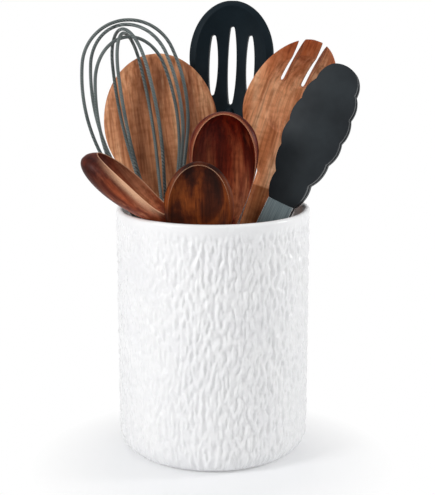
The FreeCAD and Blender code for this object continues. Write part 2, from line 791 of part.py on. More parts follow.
def make_tongs_tab(place):
    """The pull tab: an eye at the foot, a plate, and a slot that rides on the pin."""
    body = new_body("tongs_tab")
    eye = new_sketch(body, "YZ_Plane", "tongs_tab_eye")
    draw_circle(eye, None, "sizes.tongs_tab_eye_radius", "sizes.tongs_tab_eye_radius")
    pad(body, eye, "tongs_tab_disc", "sizes.tongs_tab_thick", midplane=True)
    half = "sizes.tongs_tab_wide / 2"
    plate = new_sketch(body, "YZ_Plane", "tongs_tab_plate")
    low = "sizes.tongs_tab_eye_radius + sizes.tongs_tab_hole_radius"
    draw_polygon(plate, [
        ("-" + half, low),
        (half, low),
        (half, "sizes.tongs_tab_end"),
        ("-" + half, "sizes.tongs_tab_end"),
    ])
    pad(body, plate, "tongs_tab_bar", "sizes.tongs_tab_thick", midplane=True)
    hole = new_sketch(body, "YZ_Plane", "tongs_tab_hole")
    draw_circle(hole, None, "sizes.tongs_tab_eye_radius", "sizes.tongs_tab_hole_radius")
    pocket(body, hole, "tongs_tab_ring", midplane=True)
    slot = new_sketch(body, "YZ_Plane", "tongs_tab_slot")
    free = "(sizes.tongs_pin_radius + sizes.tongs_tab_fit)"
    slot_low = "sizes.tongs_pin_high - sizes.tongs_tab_travel - " + free
    slot_high = "sizes.tongs_pin_high + " + free
    draw_polygon(slot, [
        ("-" + free, slot_low),
        (free, slot_low),
        (free, slot_high),
        ("-" + free, slot_high),
    ])
    pocket(body, slot, "tongs_tab_guide", midplane=True)
    finish(body, "tongs_tab", place)


def make_tongs_spring(place):
    """A leaf bent round the pin, its two legs against the two webs."""
    thick = size("tongs_spring_thick")
    bend = size("tongs_pin_radius") + size("tongs_pin_fit") + thick
    high = size("tongs_pin_high")
    spread = size("tongs_spring_spread")
    leg = size("tongs_spring_leg")
    reach = math.hypot(spread, leg)
    turn = math.atan2(leg, spread) - math.acos(bend / reach)

    def at(back, up):
        return Vector(size("tongs_spring_aside"), back, high + up)

    touch = (bend * math.cos(turn), bend * math.sin(turn))
    path = Part.Wire([
        Part.LineSegment(at(-spread, leg), at(-touch[0], touch[1])).toShape(),
        Part.Arc(at(-touch[0], touch[1]), at(0, -bend), at(*touch)).toShape(),
        Part.LineSegment(at(*touch), at(spread, leg)).toShape(),
    ])
    way = (at(-touch[0], touch[1]) - at(-spread, leg)).normalize()
    flat = Vector(1, 0, 0) * (size("tongs_spring_wide") / 2)
    deep = way.cross(Vector(1, 0, 0)) * (thick / 2)
    start = at(-spread, leg)
    corners = [start + flat + deep, start - flat + deep, start - flat - deep, start + flat - deep]
    profile = Part.makePolygon(corners + corners[:1])
    leaf = doc.addObject("Part::Feature", "tongs_spring")
    leaf.Shape = path.makePipeShell([profile], True, False)
    finish(leaf, "tongs_spring", place)


def lobe_outline():
    """The wavy edge of a tongs head as arcs, from its base to its tip and back."""
    base = size("tongs_length") - size("tongs_head_long")
    narrow = size("tongs_head_base_wide") / 2
    full = size("tongs_head_wide") / 2 - size("tongs_lobe_bulge")
    points = []
    for share in LOBE_STATION_SHARES:
        swell = swell_share(share, LOBE_WIDEST_SHARE, LOBE_NECK_SHARE)
        if share < LOBE_WIDEST_SHARE:
            half = narrow + (full - narrow) * swell
        else:
            half = full * swell ** LOBE_EASE_SHARE
        points.append(Vector(half, 0, base + size("tongs_head_long") * share))
    points += [Vector(-point.x, 0, point.z) for point in reversed(points)]
    edges = []
    for first, second in zip(points, points[1:]):
        way = (second - first).normalize()
        outward = Vector(way.z, 0, -way.x)
        middle = (first + second) / 2 + outward * size("tongs_lobe_bulge")
        edges.append(Part.Arc(first, middle, second).toShape())
    edges.append(Part.LineSegment(points[-1], points[0]).toShape())
    return Part.Wire(edges)


def make_tongs_head(name, place):
    """A soft domed head with a wavy edge, cupped inside, slipped on a tongue."""
    base = "sizes.tongs_length - sizes.tongs_head_long"
    deep = size("tongs_head_half_deep")
    edge = doc.addObject("Part::Feature", name + "_edge")
    outline = lobe_outline()
    outline.translate(Vector(0, -size("tongs_head_gap"), 0))
    edge.Shape = Part.Face(outline).extrude(Vector(0, -2 * deep, 0))
    dome = ellipsoid(name + "_dome", "sizes.tongs_head_dome_long / 2", "sizes.tongs_head_dome_wide / 2",
                     "sizes.tongs_head_half_deep")
    dome.setExpression("Placement.Base.z", base + " + sizes.tongs_head_dome_start")
    trimmed = doc.addObject("Part::Common", name + "_trimmed")
    trimmed.Base = edge
    trimmed.Tool = dome
    cup = ellipsoid(name + "_cup", "sizes.tongs_head_cup_long / 2", "sizes.tongs_head_cup_wide / 2",
                    "sizes.tongs_head_cup_deep")
    cup.setExpression("Placement.Base.z", base + " + sizes.tongs_head_long * %g" % CUP_CENTRE_SHARE)
    cupped = cut(name + "_cupped", trimmed, cup)
    socket = doc.addObject("Part::Box", name + "_socket")
    fit = "sizes.tongs_tongue_fit"
    socket.setExpression("Length", "sizes.tongs_tongue_wide + 2 * " + fit)
    socket.setExpression("Width", "sizes.tongs_sheet + 2 * " + fit)
    socket.setExpression("Height", "sizes.tongs_tongue_long + " + fit)
    socket.setExpression("Placement.Base.x", "-sizes.tongs_tongue_wide / 2 - " + fit)
    socket.setExpression("Placement.Base.y", "-sizes.tongs_half_deep - " + fit)
    socket.setExpression("Placement.Base.z", base)
    finish(cut(name, cupped, socket), name, place)


def make_tongs():
    place = lean("tongs", size("tongs_tab_thick") / 2, 0)
    pivot = Vector(0, 0, size("tongs_pin_high"))
    ajar = FreeCAD.Placement(Vector(0, 0, 0), FreeCAD.Rotation(Vector(1, 0, 0), -size("tongs_ajar")), pivot)
    about = FreeCAD.Placement(Vector(0, 0, 0), FreeCAD.Rotation(Vector(0, 0, 1), 180.0))
    turned = place.multiply(ajar).multiply(about)
    make_tongs_arm("tongs_front_arm", "tongs_front_wide", place)
    make_tongs_arm("tongs_back_arm", "tongs_back_wide", turned)
    make_tongs_head("tongs_front_head", place)
    make_tongs_head("tongs_back_head", turned)
    make_tongs_pin(place)
    make_tongs_tab(place)
    make_tongs_spring(place)
    hinge = place.multVec(pivot)
    across = place.Rotation.multVec(Vector(1, 0, 0))
    print("tongs hinge", [round(v, 3) for v in hinge], "across", [round(v, 5) for v in across])


make_crock()
make_whisk()
make_turner()
make_slotted_spoon()
make_fork()
for spoon in ("large_spoon", "small_spoon", "side_spoon"):
    make_plain_spoon(spoon)
make_tongs()
doc.recompute()

for thing in doc.Objects:
    if "Invalid" in thing.State or "Error" in thing.State:
        raise SystemExit("%s did not build: %s" % (thing.Label, thing.State))
os.makedirs("parts", exist_ok=True)
for thing in finished:
    shape = thing.Shape
    if shape.isNull() or not shape.isValid():
        raise SystemExit("%s has no sound shape" % thing.Label)
    shape.exportStep(os.path.join("parts", thing.Label + ".step"))
    print(thing.Label, len(shape.Solids), round(shape.Volume, 1))
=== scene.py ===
import json
import math

import bpy
import numpy as np
from mathutils import Matrix, Vector


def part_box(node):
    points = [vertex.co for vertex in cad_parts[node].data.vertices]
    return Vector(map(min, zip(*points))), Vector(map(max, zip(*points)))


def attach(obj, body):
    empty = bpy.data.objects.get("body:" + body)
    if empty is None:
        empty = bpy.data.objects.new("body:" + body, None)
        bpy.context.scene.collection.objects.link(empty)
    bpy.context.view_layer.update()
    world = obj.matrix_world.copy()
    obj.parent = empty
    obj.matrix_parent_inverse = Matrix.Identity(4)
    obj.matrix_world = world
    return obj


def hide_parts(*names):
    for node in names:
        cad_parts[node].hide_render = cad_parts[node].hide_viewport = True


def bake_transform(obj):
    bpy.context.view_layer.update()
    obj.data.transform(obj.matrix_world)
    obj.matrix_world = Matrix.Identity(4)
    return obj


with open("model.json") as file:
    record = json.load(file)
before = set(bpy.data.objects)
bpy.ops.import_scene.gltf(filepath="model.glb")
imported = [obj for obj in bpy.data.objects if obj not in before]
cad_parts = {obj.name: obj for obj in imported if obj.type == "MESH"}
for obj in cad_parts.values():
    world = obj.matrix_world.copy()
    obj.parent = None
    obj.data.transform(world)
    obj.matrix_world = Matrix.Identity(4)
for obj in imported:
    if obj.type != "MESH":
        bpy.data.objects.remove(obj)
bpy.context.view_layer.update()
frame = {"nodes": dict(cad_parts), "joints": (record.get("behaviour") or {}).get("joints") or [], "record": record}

scene = bpy.context.scene

# A full turn in radians, the way up, and plain white
FULL_TURN = 2 * math.pi
UP = Vector((0, 0, 1))
WHITE = (1.0, 1.0, 1.0, 1.0)

# Sockets of Blender's mix node that carry colours, by number
MIX_INPUTS = (0, 6, 7)
MIX_OUTPUT = 2

# Camera, in metres, degrees and millimetres of lens
CAMERA_PLACE = (0.0034, -0.9414, 0.369)
CAMERA_PITCH = 12.5
CAMERA_LENS = 89.85
CAMERA_SENSOR = 36.0

# Lamps: place in metres, width in metres, power in watts
LAMP_AIM = (0.0, 0.0, 0.16)
LAMPS = {
    "key": ((-1.0, -0.72, 0.7), 0.4, 8.4),
    "fill": ((0.4, -1.2, 0.8), 0.9, 2.3),
    "rim": ((1.0, -0.02, 0.42), 0.2, 3.7),
    "top": ((-0.1, 0.0, 1.3), 0.8, 3.0),
}
ROOM_LIGHT = 0.3

# Floor, in metres: how far it reaches, and where its shadow fades into white
FLOOR_REACH = 4.0
FLOOR_SHADE_MIDDLE = (0.0, -0.04, 0.0)
FLOOR_SHADE_START = 0.07
FLOOR_SHADE_END = 0.14
FLOOR_WHITE_SHARE = 0.28
FLOOR_ROUGHNESS = 0.9

# Crock, in metres
CROCK_WALL = 0.0048
CROCK_FLOOR = 0.008
CROCK_CORNER = 0.016
CROCK_INNER_CORNER = 0.009
CROCK_LIP_ROUND = 0.0022
CROCK_FOOT_WIDE = 0.005
CROCK_FOOT_DEEP = 0.0015
CROCK_SEGMENTS = 640
CROCK_STEP = 0.0016
CROCK_ARC_STEPS = 9

# Bark-like relief of the glaze: waves round the crock, their height and depth in metres
RELIEF_COLUMNS = 168
RELIEF_ROW = 0.0066
RELIEF_DEPTH = 0.0022
RELIEF_LIP_CLEAR = 0.006
RELIEF_FOOT_CLEAR = 0.006
RELIEF_MIDDLE_SHARE = 0.5
RELIEF_FINE_SHARE = 0.5
RELIEF_FINE_TIMES = 2
RELIEF_LEAN_SHARE = 0.45
RELIEF_LEAN_COLUMNS = 16
RELIEF_SEED = 7
RELIEF_SPARE_ROWS = 3

# Socket of the slotted spoon, in metres: the moulded swelling round the end of its handle
SOCKET_MIDDLE = (0.0125, 0.0642, 0.2467)
SOCKET_HALF_LONG = 0.0165
SOCKET_RADIUS = 0.0060
SOCKET_ROWS = 32
SOCKET_SEGMENTS = 48

# Tongs, in metres: the width of the painted highlight along the edges of the steel
STEEL_HIGHLIGHT_EDGE = 0.0007

# Painted highlights and painted shade along the edges of the wood: widths in metres of the thin line, the band and
# the wide stretch
EDGE_LINE = 0.0011
EDGE_BAND = 0.0042
EDGE_WIDE_HIGHLIGHT = 0.0070
EDGE_LINE_SHARE = 0.9

# Where an edge starts to show and where it shows in full: cosines between a face and its rounded copy
EDGE_COSINES = (0.985, 0.86)

# Heights along the utensils, in metres, between which their wood changes from one tone to the next; at the tops of
# the large and small spoons the darker tone is painted shade, and along the rims and the side spoon's band the
# painted highlights fade in
FORK_NECK = (0.2074, 0.2060)
FORK_TIPS = (0.285, 0.325)
LARGE_SPOON_TOP_SHADE = (0.215, 0.262)
SMALL_SPOON_TOP_SHADE = (0.212, 0.232)
SIDE_SPOON_TIP = (0.188, 0.238)
SIDE_SPOON_BAND_START = (0.174, 0.200)
SIDE_SPOON_BAND_END = (0.240, 0.214)
LARGE_SPOON_RIM = (0.200, 0.250)
SMALL_SPOON_RIM = (0.202, 0.228)

# Where on the endless grain of its material each utensil is cut, in metres
GRAIN_SHIFTS = {
    "turner": (3.62, 0.1, 0),
    "fork": (4.42, 0.7, 0),
    "large_spoon": (2.3, 0.2, 0),
    "small_spoon": (6.19, 1.9, 0),
    "side_spoon": (4.9, 2.2, 0),
    "whisk": (5.3, 0.4, 0),
    "slotted_spoon": (6.3, 1.4, 0),
    "tongs": (0, 0, 0),
}

# Patterns along a utensil: waves along it as a share of those across, waves per metre, detail and swirl
PLAIN_BANDS = (0.12, 60.0, 4.0, 0.5)
QUIET_BANDS = (0.08, 75.0, 4.0, 0.4)
BURL_BANDS = (0.5, 26.0, 4.0, 2.2)
WOOD_STREAK = (0.03, 240.0, 4.0, 0.2)
WOOD_FIBRE = (0.035, 520.0, 3.0, 0.0)
WOOD_PORE = (0.12, 900.0, 2.0, 0.0)
WOOD_RIPPLE = (2.4, 110.0, 2.0, 0.0)
STEEL_BRUSH = (0.02, 1800.0, 3.0, 0.0)

# Patterns the same each way: waves per metre and detail
GLAZE_CLOUD = (30.0, 3.0)
GLAZE_SPECK = (900.0, 2.0)
SOFT_CLOUD = (45.0, 4.0)
SOFT_SPECK = (1500.0, 2.0)
COATING_CLOUD = (60.0, 3.0)
COATING_WEAVE = 260.0

# Values of a pattern between which a surface changes, and how strongly it does
PATTERN_SHARES = (0.3, 0.7)
BAND_SHARES = (0.36, 0.5, 0.63)
STREAK_DARK_SHARES = (0.52, 0.7)
STREAK_LIGHT_SHARES = (0.46, 0.3)
STREAK_STRENGTH_SHARE = 0.4
FIBRE_SHARES = (0.34, 0.58)
RIPPLE_SHARES = (0.36, 0.56)
PORE_SHARES = (0.55, 0.7)
PORE_STRENGTH_SHARE = 0.5
WEAVE_SHARES = (0.3, 0.8)
WEAVE_STRENGTH_SHARE = 0.8

# Roughness in the lows and on the heights of a pattern
WOOD_ROUGHNESS = (0.52, 0.38)
GLAZE_ROUGHNESS = (0.30, 0.22)
NYLON_ROUGHNESS = (0.55, 0.45)
SILICONE_ROUGHNESS = (0.6, 0.5)
COATING_ROUGHNESS = (0.5, 0.4)
STEEL_ROUGHNESS = (0.42, 0.28)

# Strength of the mirroring, where it is less than usual
WOOD_SPECULAR = 0.1
NYLON_SPECULAR = 0.08
SILICONE_SPECULAR = 0.2
COATING_SPECULAR = 0.15

# Fine grain that shows only in the light: strength, and height in metres
WOOD_BUMP = (0.25, 0.0004)
GLAZE_BUMP = (0.04, 0.0002)
SOFT_BUMP = (0.12, 0.0003)
COATING_BUMP = (0.3, 0.0003)
STEEL_BUMP = (0.1, 0.0002)


def linear(red, green, blue):
    """A colour given in 0 to 255 screen values, as a linear colour."""
    channels = []
    for value in (red, green, blue):
        share = value / 255
        channels.append(share / 12.92 if share <= 0.04045 else ((share + 0.055) / 1.055) ** 2.4)
    return (*channels, 1.0)


def lift_axis(body):
    """The way a utensil is lifted, along its own length."""
    return Vector(next(joint["axis"] for joint in frame["joints"] if joint["child"] == body))


# Node helpers
def join(tree, value, socket):
    """Link an output to a socket, or set the socket to a plain value."""
    if isinstance(value, bpy.types.NodeSocket):
        tree.links.new(value, socket)
    else:
        socket.default_value = value


def add(tree, kind, settings=None, **inputs):
    """Add a node, set its options, and set or link its inputs by name."""
    made = tree.nodes.new(kind)
    for key, value in (settings or {}).items():
        setattr(made, key, value)
    for key, value in inputs.items():
        join(tree, value, made.inputs[key.replace("_", " ")])
    return made


def ramp(tree, factor, stops):
    """A colour ramp through pairs of place and colour."""
    made = add(tree, "ShaderNodeValToRGB", Fac=factor)
    points = made.color_ramp.elements
    while len(points) < len(stops):
        points.new(0.5)
    for point, (place, tone) in zip(points, stops):
        point.position = place
        point.color = tone
    return made.outputs["Color"]


def levels(tree, factor, low, high, bottom=0.0, top=1.0):
    """Stretch one range of a value to another."""
    made = add(tree, "ShaderNodeMapRange", Value=factor,
               From_Min=low, From_Max=high, To_Min=bottom, To_Max=top)
    return made.outputs["Result"]


def combine(tree, kind, operation, first, second, result="Value"):
    """Two values or directions put through one operation."""
    made = add(tree, kind, {"operation": operation})
    join(tree, first, made.inputs[0])
    join(tree, second, made.inputs[1])
    return made.outputs[result]


def product(tree, first, second):
    """Two values multiplied."""
    return combine(tree, "ShaderNodeMath", "MULTIPLY", first, second)


def blend_colours(tree, factor, first, second, way="MIX"):
    """One colour laid over another by a factor."""
    made = add(tree, "ShaderNodeMix", {"data_type": "RGBA", "blend_type": way})
    for number, value in zip(MIX_INPUTS, (factor, first, second)):
        join(tree, value, made.inputs[number])
    return made.outputs[MIX_OUTPUT]


def mix_shaders(tree, factor, first, second, output):
    """Two shaders mixed by a factor, as the surface of an output node."""
    mixed = add(tree, "ShaderNodeMixShader", Fac=factor)
    tree.links.new(first, mixed.inputs[1])
    tree.links.new(second, mixed.inputs[2])
    tree.links.new(mixed.outputs["Shader"], tree.nodes[output].inputs["Surface"])


def noise(tree, place, scale, detail, swirl=0.0):
    """A cloudy pattern from 0 to 1."""
    made = add(tree, "ShaderNodeTexNoise", Vector=place, Scale=scale, Detail=detail, Distortion=swirl)
    return made.outputs["Fac"]


def new_material(name):
    """A material with its nodes and its shader."""
    material = bpy.data.materials.new(name)
    material.use_nodes = True
    tree = material.node_tree
    return material, tree, tree.nodes["Principled BSDF"]


def own_place(tree):
    """Coordinates in metres that stay with the piece."""
    return add(tree, "ShaderNodeTexCoord").outputs["Object"]


def along_place(tree, body):
    """Coordinates in metres whose Z runs along a utensil."""
    turn = lift_axis(body).rotation_difference(UP).to_euler()
    return add(tree, "ShaderNodeMapping", Vector=own_place(tree), Rotation=turn).outputs["Vector"]


def height_along(tree, place):
    """How far up a utensil a place lies, in metres."""
    return add(tree, "ShaderNodeSeparateXYZ", Vector=place).outputs["Z"]


def grain(tree, body, place, pattern):
    """A pattern drawn along a utensil, cut from where its shift says."""
    length_share, scale, detail, swirl = pattern
    drawn = add(tree, "ShaderNodeMapping", Vector=place,
                Location=GRAIN_SHIFTS[body], Scale=(1.0, 1.0, length_share))
    return noise(tree, drawn.outputs["Vector"], scale, detail, swirl)


# What every material uses
def colour(tree, shader, tone):
    """The colour of a surface."""
    tree.links.new(tone, shader.inputs["Base Color"])


def mottled(tree, pattern, dark, light):
    """A tone that follows a pattern from dark to light."""
    low, high = PATTERN_SHARES
    return ramp(tree, pattern, ((low, dark), (high, light)))


def shaded(tree, tone, pattern, shares, shade):
    """A tone dimmed by a shade in the lows of a pattern."""
    low, high = shares
    dimming = ramp(tree, pattern, ((low, shade), (high, WHITE)))
    return blend_colours(tree, 1.0, tone, dimming, "MULTIPLY")


def gloss(tree, shader, pattern, roughness):
    """Roughness that follows a pattern."""
    tree.links.new(levels(tree, pattern, *PATTERN_SHARES, *roughness), shader.inputs["Roughness"])


def bump(tree, shader, height, strength, distance):
    """Fine grain that shows only in the light."""
    made = add(tree, "ShaderNodeBump", Height=height, Strength=strength, Distance=distance)
    tree.links.new(made.outputs["Normal"], shader.inputs["Normal"])


def edge_share(tree, reach):
    """1 on sharp edges and 0 away from them."""
    rounded = add(tree, "ShaderNodeBevel", Radius=reach).outputs["Normal"]
    plain = add(tree, "ShaderNodeNewGeometry").outputs["Normal"]
    facing = combine(tree, "ShaderNodeVectorMath", "DOT_PRODUCT", rounded, plain)
    return levels(tree, facing, *EDGE_COSINES)


def outside_share(tree, bowl):
    """1 on the outside of a bowl and 0 in its hollow."""
    low, high = next(one["box_m"] for one in frame["record"]["physics"]["openings"] if one["name"] == bowl)
    middle = (Vector(low) + Vector(high)) / 2
    coordinates = add(tree, "ShaderNodeTexCoord").outputs
    offset = combine(tree, "ShaderNodeVectorMath", "SUBTRACT", coordinates["Object"], middle, "Vector")
    facing = combine(tree, "ShaderNodeVectorMath", "DOT_PRODUCT", offset, coordinates["Normal"])
    return levels(tree, facing, -EDGE_LINE, EDGE_LINE)


# Materials
def make_wood(body, tones, bands=PLAIN_BANDS, darkened_stretches=(), edges=()):
    """Oiled wood: bands and streaks along the grain, ripples, pores, stretches darkened along its height (painted
    shade at the tops of the large and small spoons), and painted highlights and painted shade along edges.
    """
    material, tree, shader = new_material(body + "_wood")
    dark, light = tones[0], tones[-1]
    place = along_place(tree, body)
    streak = grain(tree, body, place, WOOD_STREAK)
    fibre = grain(tree, body, place, WOOD_FIBRE)
    ripple = grain(tree, body, place, WOOD_RIPPLE)
    pore = grain(tree, body, place, WOOD_PORE)
    tone = ramp(tree, grain(tree, body, place, bands), tuple(zip(BAND_SHARES, tones)))
    for shares, streaked in ((STREAK_DARK_SHARES, dark), (STREAK_LIGHT_SHARES, light)):
        strength = levels(tree, streak, *shares, 0.0, STREAK_STRENGTH_SHARE)
        tone = blend_colours(tree, strength, tone, streaked)
    tone = shaded(tree, tone, fibre, FIBRE_SHARES, linear(206, 194, 184))
    tone = shaded(tree, tone, ripple, RIPPLE_SHARES, linear(234, 228, 223))
    tone = blend_colours(tree, levels(tree, pore, *PORE_SHARES, 0.0, PORE_STRENGTH_SHARE), tone, dark)
    high = height_along(tree, place)
    # Stretches of the height multiplied darker; at the tops of the large and small spoons this is painted shade
    for stretch, darkening in darkened_stretches:
        tone = blend_colours(tree, levels(tree, high, *stretch), tone, darkening, "MULTIPLY")
    # Painted highlights and painted shade laid along the edges
    for share, painted_edge_tone in edges:
        tone = blend_colours(tree, share(tree), tone, painted_edge_tone)
    colour(tree, shader, tone)
    gloss(tree, shader, fibre, WOOD_ROUGHNESS)
    shader.inputs["Specular IOR Level"].default_value = WOOD_SPECULAR
    bump(tree, shader, fibre, *WOOD_BUMP)
    return material


def make_glaze():
    """White glaze, glossier on the heights of its slow clouds."""
    material, tree, shader = new_material("glaze")
    place = own_place(tree)
    cloud = noise(tree, place, *GLAZE_CLOUD)
    colour(tree, shader, mottled(tree, cloud, linear(243, 243, 244), linear(248, 248, 248)))
    gloss(tree, shader, cloud, GLAZE_ROUGHNESS)
    bump(tree, shader, noise(tree, place, *GLAZE_SPECK), *GLAZE_BUMP)
    return material


def make_soft(name, body, dark, light, roughness, specular):
    """A dark moulded or soft plastic with a fine grain."""
    material, tree, shader = new_material(name)
    place = along_place(tree, body)
    cloud = noise(tree, place, *SOFT_CLOUD)
    colour(tree, shader, mottled(tree, cloud, dark, light))
    gloss(tree, shader, cloud, roughness)
    shader.inputs["Specular IOR Level"].default_value = specular
    bump(tree, shader, noise(tree, place, *SOFT_SPECK), *SOFT_BUMP)
    return material


def make_coating():
    """Grey coating of the whisk wires, with a fine slanting weave."""
    material, tree, shader = new_material("coating")
    place = along_place(tree, "whisk")
    weave = add(tree, "ShaderNodeTexWave", {"bands_direction": "DIAGONAL"}, Vector=place, Scale=COATING_WEAVE)
    hatch = weave.outputs["Fac"]
    cloud = noise(tree, place, *COATING_CLOUD)
    tone = mottled(tree, cloud, linear(96, 104, 103), linear(128, 136, 134))
    hatched = levels(tree, hatch, *WEAVE_SHARES, 0.0, WEAVE_STRENGTH_SHARE)
    colour(tree, shader, blend_colours(tree, hatched, tone, linear(46, 53, 54)))
    gloss(tree, shader, cloud, COATING_ROUGHNESS)
    shader.inputs["Specular IOR Level"].default_value = COATING_SPECULAR
    bump(tree, shader, hatch, *COATING_BUMP)
    return material


def make_steel():
    """Brushed steel, drawn along the tongs, with a painted highlight along its edges."""
    material, tree, shader = new_material("steel")
    brush = grain(tree, "tongs", along_place(tree, "tongs"), STEEL_BRUSH)
    tone = mottled(tree, brush, linear(86, 98, 101), linear(120, 132, 135))
    # Painted highlight along the edges of the steel
    colour(tree, shader, blend_colours(tree, edge_share(tree, STEEL_HIGHLIGHT_EDGE), tone, linear(228, 232, 233)))
    shader.inputs["Metallic"].default_value = 1.0
    gloss(tree, shader, brush, STEEL_ROUGHNESS)
    bump(tree, shader, brush, *STEEL_BUMP)
    return material


def dress(material, *nodes):
    """One material on some of the solids."""
    for node in nodes:
        mesh = frame["nodes"][node].data
        mesh.materials.clear()
        mesh.materials.append(material)


# Painted highlights and painted shade along the edges of the wood
def edge_line(tree):
    """A thin line along every edge."""
    return product(tree, edge_share(tree, EDGE_LINE), EDGE_LINE_SHARE)


def edge_outside(bowl, reach):
    """A stretch along the outside of a bowl's edge."""
    return lambda tree: product(tree, edge_share(tree, reach), outside_share(tree, bowl))


def fading(share, body, stretch):
    """A share that comes in over a stretch of a utensil's height."""
    def faded(tree):
        high = height_along(tree, along_place(tree, body))
        return product(tree, share(tree), levels(tree, high, *stretch))
    return faded


# Wooden utensils
def dress_turner():
    """Plain wood with long, quiet bands."""
    tones = (linear(140, 86, 58), linear(202, 136, 96), linear(230, 174, 132))
    dress(make_wood("turner", tones, QUIET_BANDS), "turner")


def dress_fork():
    """Tan wood, darker below the neck and at the tips, with painted shade as dark lines along its edges."""
    tones = (linear(214, 132, 86), linear(248, 172, 124), linear(252, 198, 156))
    darkened_stretches = ((FORK_NECK, linear(184, 164, 146)), (FORK_TIPS, linear(184, 142, 118)))
    # Dark lines along the edges and slots are painted shade
    edges = ((edge_line, linear(92, 46, 28)),)
    dress(make_wood("fork", tones, PLAIN_BANDS, darkened_stretches, edges), "fork")


def dress_large_spoon():
    """Red wood, darker at the top with painted shade, with a painted highlight band and line along the rim."""
    tones = (linear(54, 10, 4), linear(122, 43, 22), linear(176, 102, 66))
    # Painted shade darkening the top of the spoon
    darkened_stretches = ((LARGE_SPOON_TOP_SHADE, linear(176, 110, 90)),)
    # Painted highlights: a band along the outside of the rim and a thin line on its edge
    band = fading(edge_outside("large_spoon_bowl", EDGE_BAND), "large_spoon", LARGE_SPOON_RIM)
    line = fading(edge_line, "large_spoon", LARGE_SPOON_RIM)
    edges = ((band, linear(178, 104, 72)), (line, linear(222, 160, 120)))
    dress(make_wood("large_spoon", tones, PLAIN_BANDS, darkened_stretches, edges), "large_spoon")


def dress_small_spoon():
    """Dark swirling wood, darker at the top with painted shade, with a painted highlight line along the rim."""
    tones = (linear(46, 17, 6), linear(86, 35, 11), linear(144, 72, 27))
    # Painted shade darkening the top of the bowl
    darkened_stretches = ((SMALL_SPOON_TOP_SHADE, linear(150, 130, 120)),)
    # Painted highlight line along the rim
    edges = ((fading(edge_line, "small_spoon", SMALL_SPOON_RIM), linear(206, 160, 128)),)
    dress(make_wood("small_spoon", tones, BURL_BANDS, darkened_stretches, edges), "small_spoon")


def dress_side_spoon():
    """Auburn wood, darker at the tip, with a wide painted highlight along the bowl's rim and a painted highlight
    line along its edges.
    """
    tones = (linear(120, 52, 32), linear(196, 102, 62), linear(232, 150, 106))
    # Pale painted highlight: a wide band along the outside of the bowl's rim, and a line along every edge
    highlight_tone = linear(244, 192, 154)
    darkened_stretches = ((SIDE_SPOON_TIP, linear(120, 94, 102)),)
    band = edge_outside("side_spoon_bowl", EDGE_WIDE_HIGHLIGHT)
    for stretch in (SIDE_SPOON_BAND_START, SIDE_SPOON_BAND_END):
        band = fading(band, "side_spoon", stretch)
    edges = ((band, highlight_tone), (edge_line, highlight_tone))
    dress(make_wood("side_spoon", tones, PLAIN_BANDS, darkened_stretches, edges), "side_spoon")


def dress_handles():
    """Brown wood for the handles of the whisk and the slotted spoon."""
    tones = (linear(96, 54, 32), linear(184, 120, 80), linear(224, 168, 126))
    for body, handle in (("whisk", "whisk_handle"), ("slotted_spoon", "slotted_handle")):
        dress(make_wood(body, tones), handle)


# Pieces made here
def new_piece(name, mesh, material):
    """A piece of the scene from a mesh, in one material."""
    mesh.materials.append(material)
    piece = bpy.data.objects.new(name, mesh)
    scene.collection.objects.link(piece)
    return piece


def ring_piece(name, points, material):
    """A piece from rows of points, each row closed round."""
    rows, count = points.shape[:2]
    faces = []
    for base in range(0, (rows - 1) * count, count):
        for step in range(count):
            after = (step + 1) % count
            faces.append((base + step, base + after, base + count + after, base + count + step))
    mesh = bpy.data.meshes.new(name)
    mesh.from_pydata(points.reshape(-1, 3).tolist(), [], faces)
    mesh.validate()
    mesh.shade_smooth()
    return new_piece(name, mesh, material)


# Crock
def arc(centre_out, centre_up, radius, start, end):
    """Points of one arc of the profile, between two angles in degrees."""
    points = []
    for step in range(CROCK_ARC_STEPS + 1):
        angle = math.radians(start + (end - start) * step / CROCK_ARC_STEPS)
        points.append((centre_out + radius * math.cos(angle), centre_up + radius * math.sin(angle)))
    return points


def straight(first, second):
    """Points between two places of the profile, without its ends."""
    count = max(1, round(math.dist(first, second) / CROCK_STEP))
    way = np.subtract(second, first)
    return [tuple(np.add(first, way * number / count)) for number in range(1, count)]


def crock_profile(radius, height):
    """Outline from under the foot, up, over the lip and down inside, and which stretch of it is outside."""
    inside = radius - CROCK_WALL
    foot_radius = radius - CROCK_CORNER - CROCK_FOOT_WIDE
    foot = [(0.0, CROCK_FOOT_DEEP), (foot_radius, CROCK_FOOT_DEEP), (foot_radius, 0.0)]
    outer_corner = arc(radius - CROCK_CORNER, CROCK_CORNER, CROCK_CORNER, -90, 0)
    lip_out = arc(radius - CROCK_LIP_ROUND, height - CROCK_LIP_ROUND, CROCK_LIP_ROUND, 0, 90)
    lip_in = arc(inside + CROCK_LIP_ROUND, height - CROCK_LIP_ROUND, CROCK_LIP_ROUND, 90, 180)
    inner_middle = (inside - CROCK_INNER_CORNER, CROCK_FLOOR + CROCK_INNER_CORNER)
    inner_corner = arc(*inner_middle, CROCK_INNER_CORNER, 0, -90)
    outer = outer_corner + straight(outer_corner[-1], lip_out[0])
    inner = lip_out + lip_in + inner_corner + [(0.0, CROCK_FLOOR)]
    return np.array(foot + outer + inner), slice(len(foot), len(foot) + len(outer))


def eased(share):
    """A share from 0 to 1 that starts and ends gently."""
    return share ** 2 * (3 - 2 * share)


